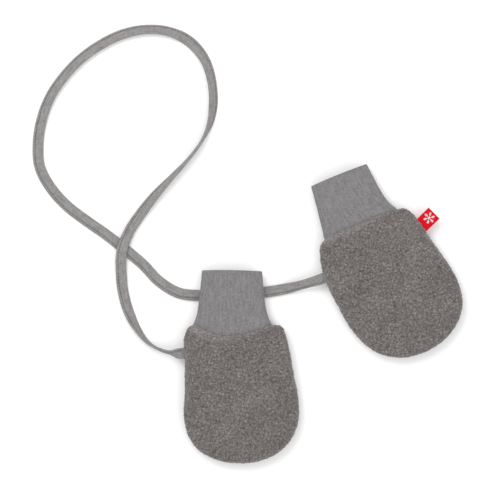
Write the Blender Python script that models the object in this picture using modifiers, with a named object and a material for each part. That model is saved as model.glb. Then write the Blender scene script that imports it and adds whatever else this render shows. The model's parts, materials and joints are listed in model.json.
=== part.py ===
"""A pair of thumbless infant mittens joined by a flat cord, lying palms down side by side.

Frame: metres, +Z up, resting on z = 0, origin under the middle of the two mittens' plan box.
Each mitten is drawn in its own axes: the middle of its cuff's top edge is (0, 0), x runs across
it and depth runs from the cuff's top towards the finger tip. Plan shapes are in millimetres.
"""
import math

import bmesh
import bpy
import numpy as np
from mathutils import Matrix

MM = 0.001
GAP = 0.3                  # air between pieces that touch
SEAM_HEIGHT = 8.6          # side seam and middle of the cuff, above the surface
LIP = 1.0                  # upright edge of each fabric half beside its seam

FLEECE = 2.8               # pile fabric of the hand part
LINING = 0.9               # jersey inside it
RIB = 1.0                  # one ply of the cuff
SIDE_THREAD = 0.8          # seam that closes the fleece
LINING_THREAD = 0.6        # seam that closes the lining
WRIST_THREAD = 1.2         # overlocked seam round the wrist

BACK_RISE = 12.0           # fleece above the side seam at the middle of the hand
PALM_RISE = 8.75           # and below it, cut flat where it rests on the surface
MOUTH_BACK_RISE = 8.0      # the same two at the wrist
MOUTH_PALM_RISE = 7.4
BACK_POWER = 2.5           # how square the back's and the palm's sections are
PALM_POWER = 4.0
PUFF_LENGTH = 26.0         # distance from the wrist to the full height

WRIST_DEPTH = 41.5         # where the hand part starts below the cuff's top edge
LINING_SETBACK = 2.1       # the lining starts this much deeper, past the wrist seam
CUFF_BASE_DEPTH = 41.0
CUFF_TOP_HALF_WIDTH = 23.7
CUFF_BASE_HALF_WIDTH = 30.2
CUFF_TOP_HALF_HEIGHT = 5.3
CUFF_BASE_HALF_HEIGHT = 5.8
CUFF_POWER = 2.6

CORD_WIDTH = 8.4
CORD_THICKNESS = 2.4
CORD_POINTS = 60
TACK_RADIUS = 4.2          # rounded bar of stitches that holds the cord's end in the seam
TACK_REACH = 1.5           # how far it stands out of the side
TACK_HEIGHT = 3.0

LABEL_LENGTH = 12.0        # along the seam
LABEL_REACH = 11.3         # out of the seam
LABEL_THICKNESS = 0.9

FLEECE_STEPS = 40          # points round the fleece, the lining and a cuff
LINING_STEPS = 28
CUFF_STEPS = 24
FLEECE_RINGS = 6
LINING_RINGS = 4
DENSE = 2000               # fine points that an even spacing is read from

LEFT = {
    "name": "left",
    "cuff_top": (-70.6, 33.5),
    "turn": 0.0,
    "cuff_middle": 0.6,
    "cuff_flare": 2.2,
    "palm_middle": (8.0, 108.0),
    "exit_depth": 64.2,
    "outline": [(-30.3, 41.5), (-34.6, 44.5), (-37.0, 51), (-37.1, 70), (-37.0, 95), (-36.6, 115),
                (-33.2, 128.7), (-24.8, 140.4), (-10.3, 148.0), (6.9, 150.2), (24.0, 148.0),
                (39.0, 140.4), (48.5, 128.7), (52.8, 114), (52.2, 98), (48.8, 78), (45.2, 60),
                (42.2, 50), (38.5, 43.8), (31.5, 41.5)],
}
RIGHT = {
    "name": "right",
    "cuff_top": (13.15, 108.0),
    "turn": 22.8,
    "cuff_middle": 0.4,
    "cuff_flare": 1.4,
    "palm_middle": (7.4, 110.0),
    "exit_depth": 69.3,
    "outline": [(-30.3, 41.5), (-35.2, 44.8), (-38.6, 52), (-41.6, 64), (-42.2, 78), (-41.0, 97),
                (-38.4, 114), (-33.5, 128.7), (-25.1, 141), (-10, 150.4), (8.4, 153.3),
                (27, 149.8), (42.0, 140.4), (50.4, 128.7), (53.2, 113), (51.6, 96), (47.6, 76),
                (43.7, 58), (40.7, 48.5), (36.8, 43.2), (31.1, 41.5)],
}
LABEL_DEPTH = 60.7         # middle of the label's sewn edge, on the right mitten's right side
LABEL_ANGLE = 21.8         # the way it points, from that mitten's x axis

# The cord's middle line from the left mitten to the right one: x, y, lift and tilt. Lift is the
# air under it, and a tilt of 90 degrees stands the band on its edge.
CORD_ROUTE = [
    (-109.8, -30.85, 7.4, 360), (-117.0, -30.5, 4.0, 297), (-125.8, -28.1, 1.2, 279),
    (-134.2, -23.6, 0.2, 262), (-143.1, -13.3, 0.2, 237), (-149.8, -0.8, 0.2, 205),
    (-155.1, 16.9, 0.4, 184), (-156.6, 32.3, 1.9, 180), (-156.1, 48.3, 2.9, 180),
    (-150.7, 63.2, 1.9, 180), (-141.3, 77.8, 0.4, 170), (-129.8, 92.6, 0.2, 144),
    (-117.1, 106.3, 0.2, 118), (-104.4, 120.1, 0.2, 102), (-93.8, 134.4, 0.2, 88),
    (-87.6, 147.5, 0.2, 62), (-85, 161.9, 0.2, 40), (-86, 180.6, 0.2, 36),
    (-91.7, 198.3, 0.2, 24), (-103.7, 212.3, 0.2, 6), (-120.8, 220.1, 0.2, 26),
    (-139.3, 221.2, 0.2, 28), (-157.4, 217, 0.2, 20), (-174.1, 208.6, 0.2, 20),
    (-189.1, 197.6, 0.2, 22), (-201.9, 183.9, 0.2, 20), (-212.2, 168.4, 0.2, 16),
    (-218.6, 151, 0.2, 8), (-221.4, 132.3, 0.2, 0), (-220.2, 114.8, 0.2, 0),
    (-211.4, 97.9, 0.2, 0), (-198.8, 83.9, 0.2, 0), (-183.9, 72.5, 0.2, 0),
    (-168.5, 61.7, 0.2, 0), (-154.1, 50.5, 0.2, 0), (-139.6, 38.2, 0.2, 0),
    (-126.7, 24.9, 0.2, 0), (-111.4, 16, 0.2, 0), (-91.9, 14.2, 0.2, 0),
    (-69.9, 14.3, 0.2, 0), (-48.9, 16.1, 0.2, 0), (-30.8, 18.9, 0.6, 0),
    (-17.5, 22.1, 3.6, 30), (-8.3, 24.7, 6.2, 24), (-0.52, 27.1, 7.4, 0),
]


def lengths_along(points):
    """Distance walked from the first point to each point, over up to three columns."""
    steps = np.linalg.norm(np.diff(points[:, :3], axis=0), axis=1)
    return np.concatenate(([0.0], np.cumsum(steps)))


def smooth_curve(points, count):
    """Evenly spaced points on one smooth curve through the given ones."""
    given = np.array(points, dtype=float)
    knots = lengths_along(given)
    slopes = np.gradient(given, knots, axis=0)
    place = np.linspace(0.0, knots[-1], DENSE)
    index = np.clip(np.searchsorted(knots, place, side="right") - 1, 0, len(knots) - 2)
    span = (knots[index + 1] - knots[index])[:, None]
    t = (place - knots[index])[:, None] / span
    fine = (2 * t**3 - 3 * t**2 + 1) * given[index]
    fine += (t**3 - 2 * t**2 + t) * span * slopes[index]
    fine += (3 * t**2 - 2 * t**3) * given[index + 1]
    fine += (t**3 - t**2) * span * slopes[index + 1]
    walked = lengths_along(fine)
    even = np.linspace(0.0, walked[-1], count)
    return np.column_stack([np.interp(even, walked, column) for column in fine.T])


def inward(outline, distance):
    """The outline moved towards the inside of the mitten along its own normal."""
    along = np.gradient(outline, axis=0)
    along /= np.linalg.norm(along, axis=1)[:, None]
    normal = np.column_stack([along[:, 1], -along[:, 0]])
    return outline + normal * distance


def superellipse(power, angle):
    """Across and up, from 0 to 1, of a rounded quarter section at an angle from its edge."""
    return math.cos(angle) ** (2 / power), math.sin(angle) ** (2 / power)


def rise(full, at_mouth, depth):
    """Half height of the hand part at a depth: it puffs up from the wrist to its full height."""
    part = min(max((depth - WRIST_DEPTH) / PUFF_LENGTH, 0.0), 1.0)
    return at_mouth + (full - at_mouth) * math.sin(part * math.pi / 2)


def spine_points(mitten, outline):
    """Middle line of the hand part, one point for each outline point, ending at the palm."""
    depths = (outline[:, 1] + outline[::-1, 1]) / 2
    end_x, end_depth = mitten["palm_middle"]
    depths = np.minimum(depths, end_depth)
    share = (depths - WRIST_DEPTH) / (end_depth - WRIST_DEPTH)
    across = mitten["cuff_middle"] + (end_x - mitten["cuff_middle"]) * share
    return np.column_stack([across, depths])


def half_rows(mitten, outline, side, rings, trim):
    """Rows of points from the seam over to the spine. side is 1 for the back, -1 for the palm.

    trim is what the fabric outside this one takes away from the height.
    """
    if side > 0:
        full, at_mouth, power = BACK_RISE, MOUTH_BACK_RISE, BACK_POWER
    else:
        full, at_mouth, power = PALM_RISE, MOUTH_PALM_RISE, PALM_POWER
    rows = []
    for edge, spine in zip(outline, spine_points(mitten, outline)):
        top = rise(full, at_mouth, spine[1]) - trim
        row = [(edge[0], edge[1], SEAM_HEIGHT + side * GAP / 2)]
        for ring in range(rings + 1):
            outward, upward = superellipse(power, math.pi / 2 * ring / rings)
            across = spine + (edge - spine) * outward
            height = LIP + (top - LIP) * upward
            if side < 0:
                height = min(height, SEAM_HEIGHT - trim)
            row.append((across[0], across[1], SEAM_HEIGHT + side * height))
        rows.append(row)
    return rows


def in_metres(point):
    """A point given as across, depth and height in millimetres, as x, y and z in metres."""
    across, depth, height = point
    return (across * MM, -depth * MM, height * MM)


def make_material(name, colour, roughness):
    material = bpy.data.materials.new(name)
    material.use_nodes = True
    shader = material.node_tree.nodes["Principled BSDF"]
    shader.inputs["Base Color"].default_value = (*colour, 1.0)
    shader.inputs["Roughness"].default_value = roughness
    shader.inputs["Metallic"].default_value = 0.0
    return material


def add_object(name, data, material, parent, origin=(0.0, 0.0)):
    """Link a new object under its pivot. origin is where the pivot lies in the mitten's axes."""
    thing = bpy.data.objects.new(name, data)
    data.materials.append(material)
    collection.objects.link(thing)
    thing.parent = parent
    thing.location = (-origin[0] * MM, origin[1] * MM, 0.0)
    return thing


def surface_mesh(name, rows, wrap=False):
    """A mesh of quads between rows of points, open, or closed from the last row to the first."""
    mesh = bpy.data.meshes.new(name)
    shape = bmesh.new()
    grid = [[shape.verts.new(in_metres(point)) for point in row] for row in rows]
    pairs = list(zip(grid, grid[1:]))
    if wrap:
        pairs.append((grid[-1], grid[0]))
    for row, following in pairs:
        for place in range(len(row) - 1):
            shape.faces.new((row[place], following[place], following[place + 1], row[place + 1]))
    bmesh.ops.remove_doubles(shape, verts=shape.verts, dist=0.01 * MM)
    shape.to_mesh(mesh)
    shape.free()
    mesh.shade_smooth()
    return mesh


def thicken(thing, thickness, offset):
    solidify = thing.modifiers.new("thickness", "SOLIDIFY")
    solidify.thickness = thickness * MM
    solidify.offset = offset
    solidify.use_even_offset = True


def fabric_half(mitten, layer, side, outline, rings, trim, thickness, material):
    """One cut piece of the hand part: an open sheet with its thickness to the inside."""
    rows = half_rows(mitten, outline, side, rings, trim)
    if side < 0:
        rows.reverse()
    face = "back" if side > 0 else "palm"
    name = f"{mitten['name']}_{layer}_{face}"
    half = add_object(name, surface_mesh(name, rows), material, mitten["pivot"], mitten["exit"])
    thicken(half, thickness, -1.0)


def thread(name, points, diameter, material, pivot, origin, closed=False):
    """A round thread along a line of points at one height each."""
    curve = bpy.data.curves.new(name, "CURVE")
    curve.dimensions = "3D"
    curve.bevel_depth = diameter / 2 * MM
    curve.bevel_resolution = 1
    curve.use_fill_caps = not closed
    spline = curve.splines.new("POLY")
    spline.points.add(len(points) - 1)
    spline.use_cyclic_u = closed
    for target, point in zip(spline.points, points):
        target.co = (*in_metres(point), 1.0)
    return add_object(name, curve, material, pivot, origin)


def side_seam(mitten, layer, outline, inset, diameter, material):
    """The closing seam of one layer, from one side of the wrist round the tip to the other."""
    line = inward(outline, inset)[2:-2]
    points = [(across, depth, SEAM_HEIGHT) for across, depth in line]
    name = f"{mitten['name']}_{layer}_seam"
    thread(name, points, diameter, material, mitten["pivot"], mitten["exit"])


def wrist_seam(mitten, material):
    """The round seam that joins cuff, fleece and lining, just inside the fleece's rim."""
    wall = FLEECE + GAP + WRIST_THREAD / 2
    half_width = (mitten["outline"][-1][0] - mitten["outline"][0][0]) / 2 - wall
    depth = WRIST_DEPTH + LINING_SETBACK - GAP - WRIST_THREAD / 2 - 0.1
    points = []
    for step in range(CUFF_STEPS):
        angle = 2 * math.pi * step / CUFF_STEPS
        top = math.sin(angle) >= 0
        power = BACK_POWER if top else PALM_POWER
        height = (MOUTH_BACK_RISE if top else MOUTH_PALM_RISE) - wall
        outward, upward = superellipse(power, abs(math.asin(math.sin(angle))))
        across = mitten["cuff_middle"] + math.copysign(outward, math.cos(angle)) * half_width
        points.append((across, depth, SEAM_HEIGHT + (1 if top else -1) * upward * height))
    thread(f"{mitten['name']}_wrist_seam", points, WRIST_THREAD, material,
           mitten["pivot"], mitten["exit"], closed=True)


def cuff_profile():
    """Depth and inset of the middle of the folded rib: up the outside, over, down the inside."""
    turn = (RIB + GAP) / 2
    top = turn + RIB / 2
    depths = [CUFF_BASE_DEPTH, 37, 32, 25, 17, 9]
    profile = [(depth, RIB / 2) for depth in depths]
    for step in range(5):
        angle = math.pi * step / 4
        profile.append((top - turn * math.sin(angle), RIB / 2 + turn * (1 - math.cos(angle))))
    profile += [(depth, RIB / 2 + 2 * turn) for depth in reversed(depths)]
    return profile


def cuff(mitten, material):
    """A tube of rib knit folded double at its top edge, flattened and flared to the wrist."""
    rows = []
    for step in range(CUFF_STEPS):
        angle = -2 * math.pi * step / CUFF_STEPS
        across_sign = math.copysign(1.0, math.cos(angle))
        up_sign = math.copysign(1.0, math.sin(angle))
        outward, upward = superellipse(CUFF_POWER, abs(math.asin(math.sin(angle))))
        row = []
        for depth, inset in cuff_profile():
            share = depth / CUFF_BASE_DEPTH
            flare = share ** mitten["cuff_flare"]
            width = CUFF_TOP_HALF_WIDTH + (CUFF_BASE_HALF_WIDTH - CUFF_TOP_HALF_WIDTH) * flare
            height = CUFF_TOP_HALF_HEIGHT + (CUFF_BASE_HALF_HEIGHT - CUFF_TOP_HALF_HEIGHT) * share
            across = mitten["cuff_middle"] * share + across_sign * outward * (width - inset)
            row.append((across, depth, SEAM_HEIGHT + up_sign * upward * (height - inset)))
        rows.append(row)
    hinge_height = SEAM_HEIGHT + CUFF_BASE_HALF_HEIGHT
    pivot = bpy.data.objects.new(f"{mitten['name']}_cuff_fold", None)
    collection.objects.link(pivot)
    pivot.parent = mitten["pivot"]
    pivot.location = (-mitten["exit"][0] * MM, (mitten["exit"][1] - CUFF_BASE_DEPTH) * MM,
                      hinge_height * MM)
    name = f"{mitten['name']}_cuff"
    tube = add_object(name, surface_mesh(name, rows, wrap=True), material, pivot)
    tube.location = (0.0, CUFF_BASE_DEPTH * MM, -hinge_height * MM)
    thicken(tube, RIB, 0.0)


def flat_piece(name, outline, thickness, material, parent, location, angle):
    """A flat outline in millimetres, extruded to its thickness and turned about +Z."""
    curve = bpy.data.curves.new(name, "CURVE")
    curve.dimensions = "2D"
    curve.fill_mode = "BOTH"
    curve.extrude = thickness / 2 * MM
    spline = curve.splines.new("POLY")
    spline.points.add(len(outline) - 1)
    spline.use_cyclic_u = True
    for target, point in zip(spline.points, outline):
        target.co = (point[0] * MM, point[1] * MM, 0.0, 1.0)
    piece = add_object(name, curve, material, parent)
    piece.location = location
    piece.rotation_euler = (0.0, 0.0, angle)
    return piece


def cord_tack(mitten, material):
    """Bar of stitches across the cord's end: a round segment about the swing's axis."""
    chord = TACK_RADIUS - TACK_REACH + GAP
    half_angle = math.acos(chord / TACK_RADIUS)
    steps = 8
    arc = []
    for step in range(steps + 1):
        angle = half_angle * (2 * step / steps - 1)
        arc.append((TACK_RADIUS * math.cos(angle), TACK_RADIUS * math.sin(angle)))
    flat_piece(f"{mitten['name']}_cord_tack", arc, TACK_HEIGHT, material, mitten["pivot"],
               (0.0, 0.0, SEAM_HEIGHT * MM), mitten["exit_angle"])


def label(mitten, material):
    """A ribbon label folded double, caught by its two ends in the side seam."""
    side = smooth_curve(mitten["outline"], DENSE)[DENSE // 2:]
    edge = side[np.argmin(abs(side[:, 1] - LABEL_DEPTH))]
    angle = math.radians(LABEL_ANGLE)
    clearance = 1.5                     # room for its corner beside the slanting seam
    pivot = bpy.data.objects.new("label_flip", None)
    collection.objects.link(pivot)
    pivot.parent = mitten["pivot"]
    pivot.location = ((edge[0] - mitten["exit"][0] + clearance * math.cos(angle)) * MM,
                      (mitten["exit"][1] - edge[1] + clearance * math.sin(angle)) * MM,
                      SEAM_HEIGHT * MM)
    pivot.rotation_euler = (0.0, 0.0, angle)
    half = LABEL_LENGTH / 2
    corners = [(0, -half), (LABEL_REACH, -half), (LABEL_REACH, half), (0, half)]
    flat_piece("label_tab", corners, LABEL_THICKNESS, material, pivot, (0.0, 0.0, 0.0), 0.0)


def cord(material):
    """The flat cord: a band with round edges that lies flat, or on its edge where it twists."""
    curve = bpy.data.curves.new("cord", "CURVE")
    curve.dimensions = "3D"
    curve.twist_mode = "Z_UP"
    curve.extrude = (CORD_WIDTH - CORD_THICKNESS) / 2 * MM
    curve.bevel_depth = CORD_THICKNESS / 2 * MM
    curve.bevel_resolution = 2
    curve.use_fill_caps = True
    points = smooth_curve(CORD_ROUTE, CORD_POINTS)
    spline = curve.splines.new("POLY")
    spline.points.add(len(points) - 1)
    flat_part = (CORD_WIDTH - CORD_THICKNESS) / 2
    for target, (x, y, lift, tilt) in zip(spline.points, points):
        lean = math.radians(tilt)
        half_height = CORD_THICKNESS / 2 + flat_part * abs(math.sin(lean))
        target.co = (x * MM, y * MM, (lift + half_height) * MM, 1.0)
        target.tilt = math.radians(90) + lean
    return add_object("cord", curve, material, None)


def place_mitten(mitten):
    """Find where the cord leaves the mitten, and put the swing's pivot there."""
    outline = smooth_curve(mitten["outline"], DENSE)
    left_side = outline[:DENSE // 2]
    index = np.argmin(abs(left_side[:, 1] - mitten["exit_depth"]))
    along = left_side[index + 1] - left_side[index - 1]
    along /= np.linalg.norm(along)
    outward = np.array([-along[1], along[0]])
    axis = left_side[index] - outward * (TACK_RADIUS - TACK_REACH)
    mitten["exit"] = (axis[0], axis[1])
    mitten["exit_angle"] = math.atan2(-outward[1], outward[0])
    turn = Matrix.Rotation(math.radians(mitten["turn"]), 3, "Z")
    offset = turn @ Matrix.Translation((axis[0] * MM, -axis[1] * MM, 0.0)).translation
    pivot = bpy.data.objects.new(f"{mitten['name']}_swing", None)
    collection.objects.link(pivot)
    pivot.location = (mitten["cuff_top"][0] * MM + offset.x,
                      mitten["cuff_top"][1] * MM + offset.y, 0.0)
    pivot.rotation_euler = (0.0, 0.0, math.radians(mitten["turn"]))
    mitten["pivot"] = pivot


def make_mitten(mitten, fleece, jersey, rib, cotton):
    """All the pieces of one mitten, from the outside in."""
    place_mitten(mitten)
    outer = smooth_curve(mitten["outline"], FLEECE_STEPS)
    wall = FLEECE + GAP + SIDE_THREAD + GAP + LINING_THREAD + GAP
    inner = inward(smooth_curve(mitten["outline"], LINING_STEPS), wall)
    tip_depth = inner[:, 1].max()
    mouth_depth = WRIST_DEPTH + LINING_SETBACK
    inner[0, 1] = inner[-1, 1] = WRIST_DEPTH
    inner[:, 1] = mouth_depth + (inner[:, 1] - WRIST_DEPTH) * \
        (tip_depth - mouth_depth) / (tip_depth - WRIST_DEPTH)
    for side in (1, -1):
        fabric_half(mitten, "outer", side, outer, FLEECE_RINGS, 0.0, FLEECE, fleece)
        fabric_half(mitten, "lining", side, inner, LINING_RINGS, FLEECE + GAP, LINING, jersey)
    thread_inset = FLEECE + GAP + SIDE_THREAD / 2
    side_seam(mitten, "side", outer, thread_inset, SIDE_THREAD, cotton)
    thread_inset += SIDE_THREAD / 2 + GAP + LINING_THREAD / 2
    side_seam(mitten, "lining", outer, thread_inset, LINING_THREAD, cotton)
    wrist_seam(mitten, cotton)
    cuff(mitten, rib)
    cord_tack(mitten, cotton)


for old in list(bpy.data.objects):
    bpy.data.objects.remove(old, do_unlink=True)

collection = bpy.data.collections.new("corded_mittens")
bpy.context.scene.collection.children.link(collection)

fleece_grey = make_material("fleece_grey", (0.178, 0.162, 0.156), 0.95)
lining_grey = make_material("lining_grey", (0.24, 0.235, 0.24), 0.9)
rib_grey = make_material("rib_grey", (0.235, 0.228, 0.238), 0.85)
thread_grey = make_material("thread_grey", (0.2, 0.19, 0.19), 0.7)
cord_grey = make_material("cord_grey", (0.3, 0.285, 0.28), 0.85)
label_red = make_material("label_red", (0.75, 0.005, 0.009), 0.6)

for one in (LEFT, RIGHT):
    make_mitten(one, fleece_grey, lining_grey, rib_grey, thread_grey)
label(RIGHT, label_red)
cord(cord_grey)
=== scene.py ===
"""The look of a pair of thumbless infant mittens joined by a flat cord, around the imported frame.

Shapes are in millimetres. Each mitten is drawn in its own axes: the middle of its cuff's top edge
is (0, 0), across runs over it and depth runs from there towards the finger tip. Height is above
the surface that the mittens lie on.
"""

import json
import math

import bmesh
import bpy
import numpy as np
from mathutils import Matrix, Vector


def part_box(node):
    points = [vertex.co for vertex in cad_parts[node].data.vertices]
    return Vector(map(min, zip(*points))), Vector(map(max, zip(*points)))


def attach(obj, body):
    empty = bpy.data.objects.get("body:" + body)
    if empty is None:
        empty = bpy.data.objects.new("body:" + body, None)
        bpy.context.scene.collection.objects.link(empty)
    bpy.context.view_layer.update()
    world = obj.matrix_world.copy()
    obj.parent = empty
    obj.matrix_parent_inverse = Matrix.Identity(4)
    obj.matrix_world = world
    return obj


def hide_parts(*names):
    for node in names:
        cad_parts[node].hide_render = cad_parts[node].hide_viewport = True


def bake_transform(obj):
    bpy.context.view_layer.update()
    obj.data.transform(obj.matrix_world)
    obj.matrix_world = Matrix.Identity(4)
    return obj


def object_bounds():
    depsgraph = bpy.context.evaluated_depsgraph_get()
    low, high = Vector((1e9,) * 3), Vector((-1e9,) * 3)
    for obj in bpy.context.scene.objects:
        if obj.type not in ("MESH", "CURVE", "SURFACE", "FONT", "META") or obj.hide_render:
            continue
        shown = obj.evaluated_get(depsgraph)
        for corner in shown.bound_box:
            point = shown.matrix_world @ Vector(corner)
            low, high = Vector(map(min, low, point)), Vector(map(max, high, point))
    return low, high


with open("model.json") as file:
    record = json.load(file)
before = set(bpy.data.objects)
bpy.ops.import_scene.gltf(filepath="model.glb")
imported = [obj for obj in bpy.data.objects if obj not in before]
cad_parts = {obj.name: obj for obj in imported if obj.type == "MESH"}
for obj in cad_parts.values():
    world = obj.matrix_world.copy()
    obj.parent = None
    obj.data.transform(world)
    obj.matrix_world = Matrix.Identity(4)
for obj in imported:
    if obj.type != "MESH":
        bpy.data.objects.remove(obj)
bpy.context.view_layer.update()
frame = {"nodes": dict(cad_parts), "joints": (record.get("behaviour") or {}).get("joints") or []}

MM = 0.001
DENSE = 2400                # fine points that an even spacing is read from
UNSEEN_PLACE = (0.5, 0.995)  # where the maps put faces that nothing shows
CELL_SHIFT = 0.37           # keeps round numbers off the edges of the cells that find equal points
JOINTS = {joint["name"]: joint for joint in frame["joints"]}
SEAM_HEIGHT = JOINTS["left_swing"]["pos_m"][2] / MM     # side seams and middle of the cuffs

# Hand part
FLEECE = 2.4                # thickness of the pile fabric
BACK_RISE = 11.6            # its outside above the side seam at the middle of the hand
PALM_RISE = 8.1             # and below it, where it rests on the surface
MOUTH_RISE = 8.1            # both at the wrist, where it sits on the cuff
BACK_POWER = 2.5            # how square the sections are
PALM_POWER = 3.6
HAND_HALF_WIDTH = 44.0
PUFF_LENGTH = 24.0          # from the wrist to the full height
PALM_DIP = 0.25             # how much of the back's sagging rim the palm's rim has
SEAM_GAP = 0.08             # air between the two halves
SEAM_GROOVE = 0.9           # depth and half width of the groove along the side seam
WRIST_DEPTH = 41.5          # where the fleece starts at the sides of the wrist
FLOOR_AIR = 0.03            # between all fabric and the surface that it lies on
MERGE = 0.15                # points nearer than this are one

# Pile
CURL = 2.35                 # one curl of the pile
CURL_HEIGHT = 1.1
CURL_LEVEL = 0.6            # the part of a curl's height that stays under the fabric's outline
CURL_WANDER = 0.32          # how far curls stray from their even places, in curls
LOOPS_PER_CURL = 1.9
PILE_START = 1.4            # the pile has its full height this far above and below the side seam
HUMP_LENGTH = 17.0          # wide and narrow unevenness of the fabric
HUMP_HEIGHT = 0.15
RIPPLE_LENGTH = 7.0
RIPPLE_HEIGHT = 0.03
RIM_BAND = 6.0              # the pile is flatter this near the wrist, and paler, with less painted shade between its curls
RIM_CURL = 0.84             # the even height of the curls there
RIM_CALM = 0.43             # how far they come to it
RIM_LEFTWARD = 0.6          # how much more of this there is on the left than in the middle

# Mesh of the hand part, and its cloth simulation
BACKING_RINGS = 8           # steps from the seam to the middle on the fabric's plain inner face
ROLL_STEPS = 8              # round the rim at the wrist
CLOTH_RAYS = 120
CLOTH_RINGS = 16
CLOTH_MERGE = 0.05
CLOTH_FRAMES = 20
CLOTH_SETTINGS = {"quality": 6, "mass": 0.15, "tension_stiffness": 12.0,
                  "compression_stiffness": 12.0, "shear_stiffness": 4.0, "bending_stiffness": 0.4,
                  "vertex_group_mass": "held", "use_pressure": True,
                  "uniform_pressure_force": 4.0, "shrink_min": -0.05}
CLOTH_CAP = 1.2             # furthest that the cloth simulation may move a point
CLOTH_SIDEWAYS = 0.4        # how much of its sideways movement is kept
CALM_RADIUS = 20.0          # round the point where the rays meet, its movement is smoothed
FLEECE_LAYER = {"name": "fleece", "node": "outer", "slot": "fleece", "thickness": FLEECE,
                "rays": 720, "rings": 96, "step": 0.45, "inset": 0.6, "start": 0.0, "trim": 0.0}
LINING_LAYER = {"name": "jersey", "node": "lining", "slot": "lining", "thickness": 0.8,
                "rays": 320, "rings": 32, "step": 0.9, "inset": 4.9, "start": 6.0,
                "trim": FLEECE + 0.4}

# Cuff
CUFF_LENGTH = 41.0
CUFF_HIDDEN = 13.0          # how far it runs on under the fleece
CUFF_TUCK = 2.0             # how much narrower it gets there
CUFF_FLARE = 6.0            # how suddenly the curved part of its flare comes
CUFF_TOP_HALF_HEIGHT = 5.3
CUFF_BASE_HALF_HEIGHT = 5.8
CUFF_POWER = 2.6
CUFF_ROW = 0.9
RIB = 0.6                   # half of the folded edge's thickness
WALE = 1.25                 # one rib of the knit
CUFF_WALES = 100
WALE_STEPS = 4
RIB_HEIGHT = 0.05
CREASE_HEIGHT = 0.22
CREASE_LENGTH = 7.0         # from one slanting crease to the next
SWELL_LENGTH = 16.0         # and across the wide swells under them
TOP_SLANT = 0.35            # how far the top edge leans down to the right
TOP_BOW = 0.5               # how far its middle stands above its ends

# Cord
CORD_WIDTH = 8.4
CORD_THICKNESS = 2.4
CORD_POWER = 2.8            # how square its section is
CORD_FOLD = 1.4             # width of its finely divided folded edge
CORD_STEP = 0.6
CORD_SWELL = 0.08           # the share by which its thickness varies
CORD_SWELL_LENGTH = 9.0
CORD_PINCH = 0.45           # the share of its thickness that is left at its sewn ends
COURSE = 1.1                # one row of its knit
COURSE_HEIGHT = 0.035
CORD_SEWN_IN = 3.4          # how far each end runs into its side seam
SEAM_LINE = 2.0 - CORD_WIDTH / 2    # 2 mm from its edge, measured from its middle line
STITCH_PITCH = 2.3
STITCH_SHARE = 0.74         # the part of the pitch that a stitch covers
STITCH_DIAMETER = 0.5
GROOVE_DEPTH = 0.45         # of the seam line, as a share of the half thickness
GROOVE_WIDTH = 0.4
GROOVE_BAND = 3.0           # width of the finely divided edge round it

# Tacks and label
TACK_STITCHES = 11
TACK_PITCH = 0.78
TACK_THREAD = 0.64
LABEL_WIDTH = 12.0
LABEL_REACH = 11.3
LABEL_SEWN_IN = 3.0
LABEL_PLY = 0.4             # from its flat middle to the middle of either ply
LABEL_CLOTH = 0.55 * LABEL_PLY
LABEL_RIB = 0.55            # one rib of its weave
LABEL_CURL = 0.7
SNOWFLAKE_RADIUS = 4.5
SNOWFLAKE_THREAD = 0.5
SNOWFLAKE_BRANCH = 0.24     # a side branch, as a share of the radius

# View
FLOOR_LEVEL = -0.05         # just under the lowest fabric
FLOOR_REACH = 3000.0
VIEW_WIDTH = 390.0
VIEW_SHIFT = (1.9, -4.7)    # its middle from the middle of the CAD box

# Each side of a cuff has its half width at the top and at the wrist, and the straight share of the
# flare between them.
MITTENS = {
    "left": {
        "rim_middle": -4.0,
        "cuff_sides": ((22.9, 29.6, 0.55), (23.7, 30.9, 0.5)),
        "palm_middle": (8.0, 108.0),
        "dip": 10.0,        # how far the fleece's rim sags over the middle of the cuff
        "outline": [(-30.3, 41.5), (-34.6, 44.5), (-37.0, 51), (-37.1, 70), (-37.3, 95),
                    (-37.3, 115), (-34.0, 128.7), (-25.0, 140.4), (-10.3, 147.8), (6.9, 150.1),
                    (24.0, 147.8), (38.6, 140.2), (48.3, 128.7), (52.7, 114), (52.1, 98),
                    (48.8, 78), (45.2, 60), (42.3, 49), (39.8, 43.2), (31.5, 41.5)],
    },
    "right": {
        "rim_middle": 0.4,
        "cuff_sides": ((23.7, 30.3, 0.85), (22.8, 30.8, 0.4)),
        "palm_middle": (7.4, 110.0),
        "dip": 0.6,
        "outline": [(-30.3, 41.5), (-35.2, 44.8), (-38.6, 52), (-41.6, 64), (-42.2, 78),
                    (-41.0, 97), (-38.4, 114), (-33.5, 128.7), (-25.1, 141), (-10, 150.4),
                    (8.4, 153.3), (27, 149.8), (42.0, 140.4), (50.4, 128.7), (53.2, 113),
                    (51.6, 96), (47.6, 76), (43.7, 58), (40.7, 48.5), (36.8, 43.2), (31.1, 41.5)],
    },
}

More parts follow.
